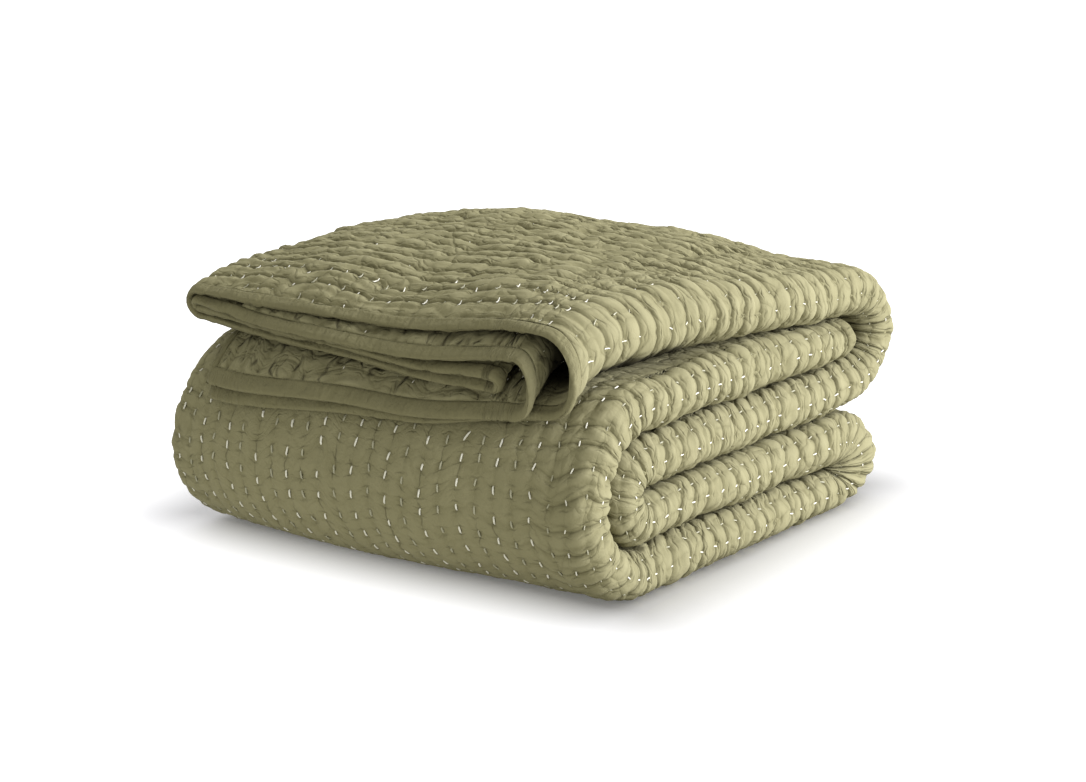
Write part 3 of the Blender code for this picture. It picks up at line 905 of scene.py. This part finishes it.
def noise(nodes, at, scale, detail=1.0, roughness=0.5, distortion=0.0):
    # soft noise at a place, with so many cells in each unit of it
    inputs = {"Vector": at, "Scale": scale, "Detail": detail, "Roughness": roughness}
    return addNode(nodes, "TexNoise", {**inputs, "Distortion": distortion}).outputs


def ramp(nodes, value, begin, end, first=0.0, last=1.0):
    # first up to the value's begin, last from its end on, straight between
    inputs = {"Value": value, "From Min": begin, "From Max": end, "To Min": first, "To Max": last}
    return addNode(nodes, "MapRange", inputs).outputs["Result"]


def falling(nodes, value, width, power):
    # 1 where the value is 0, falling to 0 at the width
    return maths(nodes, "POWER", ramp(nodes, value, 0.0, width, 1.0, 0.0), power)


def attribute(nodes, name):
    # the value that the mesh has there
    return addNode(nodes, "Attribute", {}, attribute_name=name).outputs["Fac"]


def mixed(nodes, factor, first, second):
    # two colours mixed by a mask
    return addNode(nodes, "Mix", {"Factor": factor, 6: first, 7: second}, data_type="RGBA").outputs[2]


def bumped(nodes, height, strength=1.0, distance=1.0):
    # the normal tilted by the height's slope
    inputs = {"Height": height, "Strength": strength, "Distance": distance}
    return addNode(nodes, "Bump", inputs).outputs["Normal"]


def newGroup(name, inputs, outputs):
    # an empty shader group with named number sockets
    group = bpy.data.node_groups.new(name, "ShaderNodeTree")
    for label, value in inputs.items():
        socket = group.interface.new_socket(label, in_out="INPUT", socket_type="NodeSocketFloat")
        socket.default_value = value
    for label in outputs:
        group.interface.new_socket(label, in_out="OUTPUT", socket_type="NodeSocketFloat")
    return group, group.nodes.new("NodeGroupInput"), group.nodes.new("NodeGroupOutput")


weaveLook = {
    "slubs": ((1.0, 0.16, 1.0), (0.16, 1.0, 1.0)),
    "gatherStretch": (1.0, 0.3, 1.0),
    "gathers": 170.0,  # a metre, as are the wrinkles
    "wrinkles": 260.0,
}


def cottonWeave():
    # plain weave: slubby warp and weft threads, a mottle of wash and wear,
    # wrinkles, and the gathers of a band
    labels = ("Threads", "Mottle", "Wrinkle", "Gathers")
    group, ins, outs = newGroup("cottonWeave", {"Thread Gap": 0.0006, "Mottle Size": 0.03}, labels)
    nodes = group.nodes
    at = addNode(nodes, "UVMap", {}, uv_map="cloth").outputs["UV"]
    threads, mottles = (maths(nodes, "DIVIDE", 1.0, size) for size in ins.outputs[:2])
    warp, weft = (noise(nodes, mapped(nodes, at, slub), threads)["Fac"] for slub in weaveLook["slubs"])
    gathered = mapped(nodes, at, weaveLook["gatherStretch"])
    made = (
        maths(nodes, "MULTIPLY", maths(nodes, "ADD", warp, weft), 0.5),
        noise(nodes, at, mottles, detail=4.0, roughness=0.6)["Fac"],
        noise(nodes, at, weaveLook["wrinkles"], detail=3.0, roughness=0.55, distortion=0.6)["Fac"],
        noise(nodes, gathered, weaveLook["gathers"], distortion=0.4)["Fac"],
    )
    for label, output in zip(labels, made):
        group.links.new(output, outs.inputs[label])
    return group


# creases: their width in rows or stitches, and how sharp they are
creaseLook = {
    "Crease": (0.17, 1.5),
    # Line is a narrow crease mask that only paints shade; the others also bump the cloth
    "Line": (0.07, 1.2),
    "Groove": (0.18, 1.3),
    "Tuck": (0.07, 1.3),
    "tuckLength": (0.42, 0.9),
    "tuckFrom": 0.21,  # of a stitch
    "Pinch": (0.06, 1.2),
    # cells a row and a stitch, turn, width and sharpness
    "Net": ((0.60, 1.10, 1.0), 0.25, 0.16, 1.5),
    "Fine Net": ((1.25, 2.3, 1.0), -0.15, 0.20, 1.5),
    "Gather": ((0.95, 0.50, 1.0), 0.75, 0.13, 1.5),
    "shaken": (0.5, 0.42, 0.0),  # rows and stitches that a noise moves them
    "bent": (0.9, 0.7, 0.0),
    "patchy": (0.48, 0.62),  # the noise where some of them fade in
}


def fromWhole(nodes, at):
    # how far a place is from the nearest whole row and the nearest whole stitch
    parts = addNode(nodes, "SeparateXYZ", {0: at})
    return [maths(nodes, "PINGPONG", parts.outputs[axis], 0.5) for axis in ("X", "Y")]


def quiltPuckers():
    # creases by rows across and stitches along: one on each whole stitch, a
    # groove on each row, tucks and pinches beside them, nets that part the ribs
    labels = ("Crease", "Line", "Groove", "Tuck", "Pinch", "Net", "Fine Net", "Gather")
    group, _, outs = newGroup("quiltPuckers", {}, labels)
    nodes = group.nodes
    at = addNode(nodes, "UVMap", {}, uv_map="quilting").outputs["UV"]
    fromRow, fromStitch = fromWhole(nodes, at)
    moved = vectors(nodes, "MULTIPLY_ADD", noise(nodes, at, 1.7)["Color"], creaseLook["shaken"], at)
    halfway = tuple(0.5 * reach for reach in creaseLook["shaken"])
    besideRow, besideStitch = fromWhole(nodes, vectors(nodes, "SUBTRACT", moved, halfway))
    fromTuck = maths(nodes, "ABSOLUTE", maths(nodes, "SUBTRACT", besideStitch, creaseLook["tuckFrom"]))
    some = ramp(nodes, noise(nodes, at, 0.9)["Fac"], *creaseLook["patchy"])
    bent = vectors(nodes, "MULTIPLY_ADD", noise(nodes, at, 1.1)["Color"], creaseLook["bent"], at)
    away = fromStitch, fromStitch, fromRow, fromTuck, besideRow
    made = {label: falling(nodes, value, *creaseLook[label]) for label, value in zip(labels, away)}
    for label in labels[len(away):]:
        stretch, turn, width, power = creaseLook[label]
        cells = {"Vector": mapped(nodes, bent, stretch, turn), "Scale": 1.0}
        cells = addNode(nodes, "TexVoronoi", cells, feature="DISTANCE_TO_EDGE", voronoi_dimensions="2D")
        made[label] = falling(nodes, cells.outputs["Distance"], width, power)
    tuckLength = falling(nodes, besideRow, *creaseLook["tuckLength"])
    for label, mask in (("Tuck", tuckLength), ("Pinch", some), ("Gather", some)):
        made[label] = maths(nodes, "MULTIPLY", made[label], mask)
    for label in labels:
        group.links.new(made[label], outs.inputs[label])
    return group


cotton = {
    "light": (0.212, 0.197, 0.104, 1.0),
    # deep: a darker tone, used for the random mottle, and on the quilted cloth as painted shade in hollows
    # and creases
    "deep": (0.135, 0.124, 0.058, 1.0),
    "edge": (0.138, 0.127, 0.064, 1.0),
    # line: painted shade along narrow creases, tucks, pinches and gathers
    "line": (0.042, 0.037, 0.016, 1.0),
    # dark: painted shade inside the closed folds
    "dark": (0.016, 0.014, 0.006, 1.0),
    "threads": {
        "ecru_thread": ((0.64, 0.62, 0.49, 1.0), (0.52, 0.50, 0.385, 1.0)),
        "green_thread": ((0.30, 0.285, 0.175, 1.0), (0.24, 0.23, 0.135, 1.0)),
    },
    # shares of the deep colour (painted shade in hollows and creases, and a random mottle)
    # and of the line colour (painted shade along narrow creases), and depths of the bump
    # in metres: on taut cloth, and what slack adds
    "clothShadeAndMottle": {"Hollow Shade": (0.6, 0), "Crease": (0, 0.25), "Net": (0.15, 0), "Mottle": (0.30, 0)},
    "clothCreaseShade": {"Line": (0, 0.58), "Net": (0, 0.09), "Tuck": (0.22, 0), "Pinch": (0.40, -0.40),
                   "Gather": (0.70, 0)},
    "clothBump": {"Threads": (0.00005, 0), "Wrinkle": (0.0009, -0.0007), "Crease": (0, -0.0016),
                  "Net": (-0.000252, -0.000448), "Fine Net": (-0.000036, -0.000064),
                  "Groove": (-0.0005, 0.0005), "Pinch": (-0.0005, 0.0005), "Tuck": (-0.0007, 0),
                  "Gather": (-0.0026, 0)},
    "edgeBump": {"Threads": (0.00005, 0), "Wrinkle": (0.0011, 0), "Gathers": (0.0026, 0)},
    "cotton": {"Roughness": 0.86, "Specular IOR Level": 0.10},
    "thread": {"Roughness": 0.6, "Sheen Weight": 0.2},
    "threadWeave": {"Thread Gap": 0.0004, "Mottle Size": 0.004},
    "threadBump": (0.5, 0.0002),
}


def weighted(nodes, outputs, weights, slack=None):
    # the sum of the named outputs, each times its weight and what slack adds
    total = 0.0
    for label, (weight, more) in weights.items():
        if more:
            weight = maths(nodes, "MULTIPLY_ADD", slack, more, weight)
        total = maths(nodes, "MULTIPLY_ADD", outputs[label], weight, total)
    return total


def newMaterial(name):
    # a material, its nodes and its shader
    material = bpy.data.materials.new(name)
    material.use_nodes = True
    nodes = material.node_tree.nodes
    return material, nodes, nodes["Principled BSDF"]


def clothMaterial(weave, puckers):
    # washed cotton with a random mottle, and painted shade: deeper in its hollows and creases and dark
    # inside the folds
    material, nodes, shader = newMaterial("washed_cotton")
    outputs = {"Hollow Shade": attribute(nodes, "hollow")}
    for group in (weave, puckers):
        outputs.update(addNode(nodes, "Group", {}, node_tree=group).outputs.items())
    outputs["Gather"] = maths(nodes, "MULTIPLY", outputs["Gather"], attribute(nodes, "gathered"))
    slack = attribute(nodes, "slack")
    deep, creaseShadeMask, height = (weighted(nodes, outputs, cotton[key], slack)
                           for key in ("clothShadeAndMottle", "clothCreaseShade", "clothBump"))
    # painted shade in hollows and creases, mixed with the random mottle
    colour = mixed(nodes, deep, cotton["light"], cotton["deep"])
    # painted shade along narrow creases, tucks, pinches and gathers
    colour = mixed(nodes, creaseShadeMask, colour, cotton["line"])
    # painted shade: near black inside the closed folds
    colour = mixed(nodes, attribute(nodes, "enclosed"), colour, cotton["dark"])
    setInputs(shader, {**cotton["cotton"], "Base Color": colour, "Normal": bumped(nodes, height)})
    return material


def bandMaterial(weave):
    # the same cotton without quilting, gathered along the band
    material, nodes, shader = newMaterial("binding_cotton")
    outputs = addNode(nodes, "Group", {}, node_tree=weave).outputs
    colour = mixed(nodes, outputs["Mottle"], cotton["edge"], cotton["deep"])
    bump = bumped(nodes, weighted(nodes, outputs, cotton["edgeBump"]))
    setInputs(shader, {**cotton["cotton"], "Base Color": colour, "Normal": bump})
    return material


def threadMaterial(name, weave, light, dark):
    # spun cotton thread, mottled from light to dark
    material, nodes, shader = newMaterial(name)
    outputs = addNode(nodes, "Group", cotton["threadWeave"], node_tree=weave).outputs
    colour = mixed(nodes, outputs["Mottle"], light, dark)
    bump = bumped(nodes, outputs["Threads"], *cotton["threadBump"])
    setInputs(shader, {**cotton["thread"], "Base Color": colour, "Normal": bump})
    return material


weave = cottonWeave()
quiltCotton = clothMaterial(weave, quiltPuckers())
edgeCotton = bandMaterial(weave)
ecruThread, greenThread = (threadMaterial(name, weave, *colours)
                           for name, colours in cotton["threads"].items())
print("materials made")

clothFaces = {side: clothFace(side) for side, seen in clothSides}
cloth = quiltCloth(clothFaces)
binding = bindingStrip()
ecru = stitchRow("ecru_stitches", 0, clothFaces)
green = stitchRow("green_stitches", 1, clothFaces)
for obj, material, slot in (
        (cloth, quiltCotton, "quilted_cotton"), (binding, edgeCotton, "binding_cotton"),
        (ecru, ecruThread, "quilted_cotton"), (green, greenThread, "quilted_cotton")):
    obj.data.materials.append(material)
    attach(obj, "root")
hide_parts("quilt_body")
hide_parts("edge_binding")

studio = {
    "azimuth": 35.5, "elevation": 16.6,
    "frame": 1086, "focal": 2900.0,  # in pixels
    "perPixel": strip / 52.0,
    # the middle of the view: pixels left of and above the right fold, and back
    "aim": (-240.0, 188.61, 109.86), "aimFold": 0.42,
    "floor": 12.0,
    "floorLook": {"Base Color": (0.885, 0.885, 0.92, 1.0), "Roughness": 0.95,
                  "Specular IOR Level": 0.0, "Emission Strength": 1.0},
    # the floor's painted shadow: a box under the quilt, and the glow round it that the floor gives off
    # though it is no lamp
    "shadeShift": (0.0225, -0.028, 0.0), "shadeTurn": -0.045, "shadeHalf": (0.2095, 0.177, 0.0),
    "shadeReach": 0.093, "shadeGlow": (0.10, 0.84),
    "lightsAim": (0.0, 0.0, 0.12),
    "world": {"Color": (1.0, 1.0, 1.0, 1.0), "Strength": 0.78},
}
# place, size, power and colour
studioLights = {
    "key_light": ((2.65, 1.0, 1.0), 2.4, 325.0, (0.94, 0.95, 1.12)),
    "top_light": ((-1.0, 1.1, 2.1), 2.2, 50.0, (1.0, 1.0, 1.0)),
}


def paintedFloorShadow(nodes):
    # a painted shadow: the floor's glow, dim under the quilt and brighter with the distance from a box
    # round it
    at = addNode(nodes, "TexCoord", {}).outputs["Object"]
    shifted = mapped(nodes, at, turn=studio["shadeTurn"], shift=studio["shadeShift"])
    outside = vectors(nodes, "SUBTRACT", vectors(nodes, "ABSOLUTE", shifted), studio["shadeHalf"])
    far = vectors(nodes, "LENGTH", vectors(nodes, "MAXIMUM", outside, (0.0, 0.0, 0.0)))
    return ramp(nodes, far, 0.0, studio["shadeReach"], *studio["shadeGlow"])


def studioFloor():
    # a flat square under everything, whose own glow paints a soft shadow round the quilt
    mesh = bpy.data.meshes.new("studio_floor")
    half = studio["floor"]
    corners = [(-half, -half, 0.0), (half, -half, 0.0), (half, half, 0.0), (-half, half, 0.0)]
    mesh.from_pydata(corners, [], [(0, 1, 2, 3)])
    material, nodes, shader = newMaterial("floor_painted_shadow")
    setInputs(shader, {**studio["floorLook"], "Emission Color": paintedFloorShadow(nodes)})
    mesh.materials.append(material)
    newObject("studio_floor", mesh)


def softLight(name, lit, spot, size, power, colour):
    # a square light aimed at the quilt that lights the lit pieces alone
    light = bpy.data.lights.new(name, "AREA")
    light.shape = "SQUARE"
    light.size = size
    light.energy = power
    light.color = colour
    obj = newObject(name, light)
    obj.location = spot
    aim = Vector(studio["lightsAim"]) - Vector(spot)
    obj.rotation_euler = aim.to_track_quat("-Z", "Y").to_euler()
    obj.light_linking.receiver_collection = lit


def studioCamera():
    # straight back from the middle of the view, by its focal length in pixels
    a, e = math.radians(studio["azimuth"]), math.radians(studio["elevation"])
    unit = studio["perPixel"]
    back = Vector((math.sin(a) * math.cos(e), -math.cos(a) * math.cos(e), math.sin(e)))
    x, y, z = (unit * pixels for pixels in studio["aim"])
    centre = fold["centre"]
    target = Vector((width - centre[0] - studio["aimFold"] * strip + x, -centre[1] + y, z))
    data = bpy.data.cameras.new("camera")
    data.sensor_width = 36.0
    data.lens = studio["focal"] / studio["frame"] * data.sensor_width
    obj = newObject("camera", data)
    obj.location = target + back * studio["focal"] * unit
    obj.rotation_euler = back.to_track_quat("Z", "Y").to_euler()
    bpy.context.scene.camera = obj


studioFloor()
lit = bpy.data.collections.new("lit_by_key")
for obj in (cloth, binding, ecru, green):
    lit.objects.link(obj)
for name, look in studioLights.items():
    softLight(name, lit, *look)
world = bpy.data.worlds.new("studio")
world.use_nodes = True
setInputs(world.node_tree.nodes["Background"], studio["world"])
bpy.context.scene.world = world
bpy.context.scene.view_settings.view_transform = "Standard"
studioCamera()
print("studio ready")
